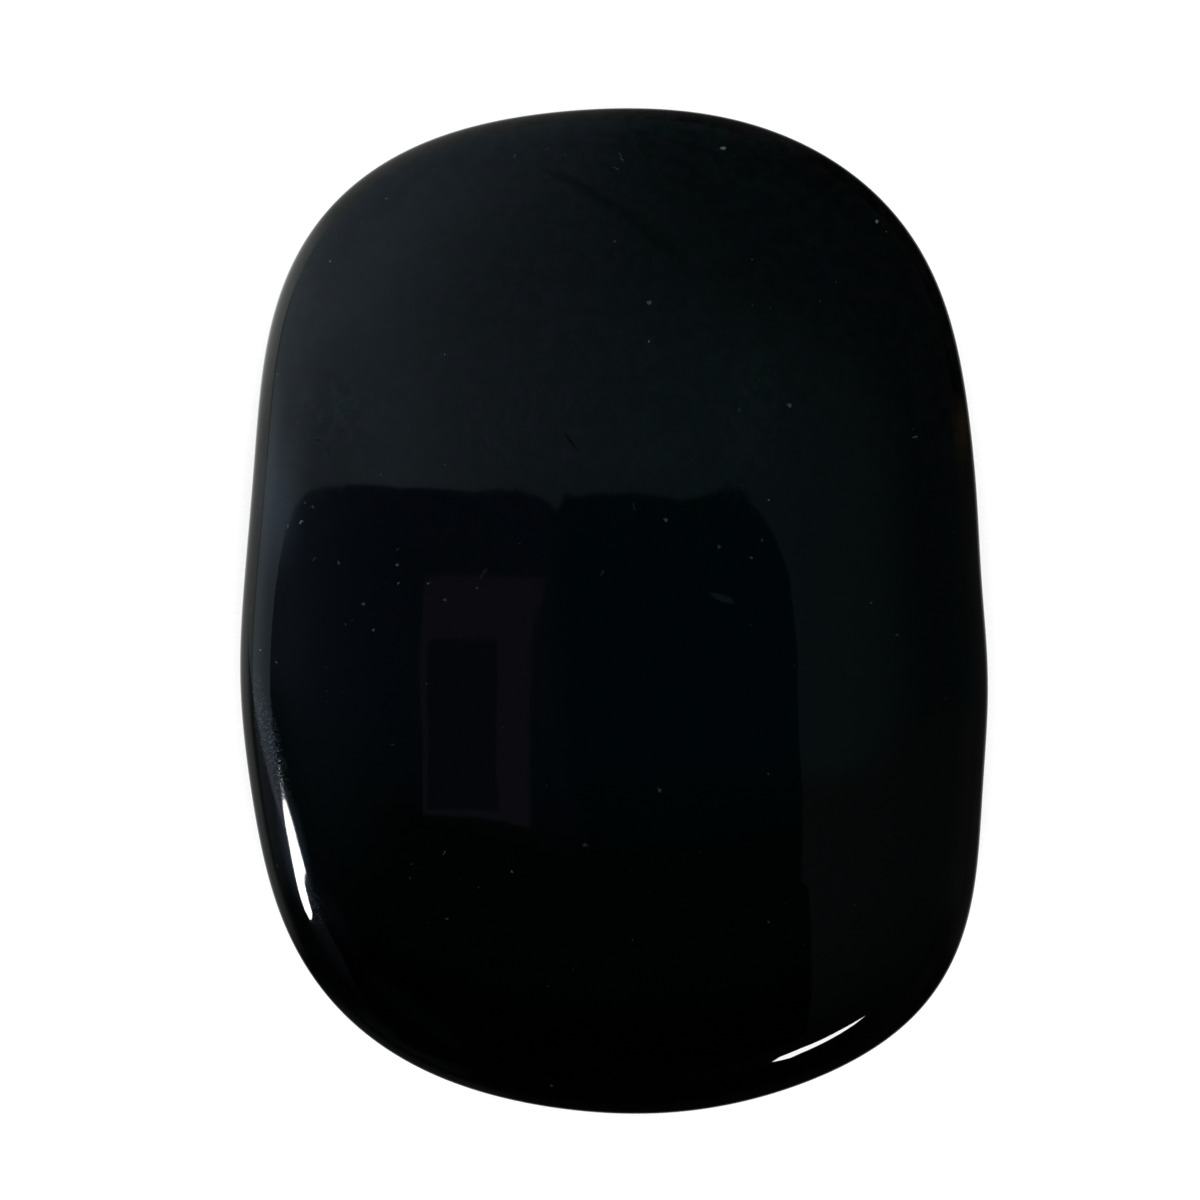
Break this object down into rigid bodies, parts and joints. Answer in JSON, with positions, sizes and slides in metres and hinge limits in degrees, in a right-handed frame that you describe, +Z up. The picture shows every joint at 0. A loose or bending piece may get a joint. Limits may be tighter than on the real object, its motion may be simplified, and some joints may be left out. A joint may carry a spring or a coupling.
{
  "type": "polished obsidian palm stone",
  "caption": "Flat tumbled palm stone of black volcanic glass with a rounded oblong outline, a gently domed glossy face and a soft rim.",
  "frame": {"origin": "on the surface that the stone rests on, under the middle of its outline", "axes": "+Z up out of the domed face, +Y along the stone's length towards its blunt end, +X across it"},
  "size_m": [0.0446, 0.06, 0.009],
  "materials": {
    "obsidian": "polished"
  },
  "bodies": {
    "root": {"palm_stone": "obsidian"}
  },
  "joints": []
}
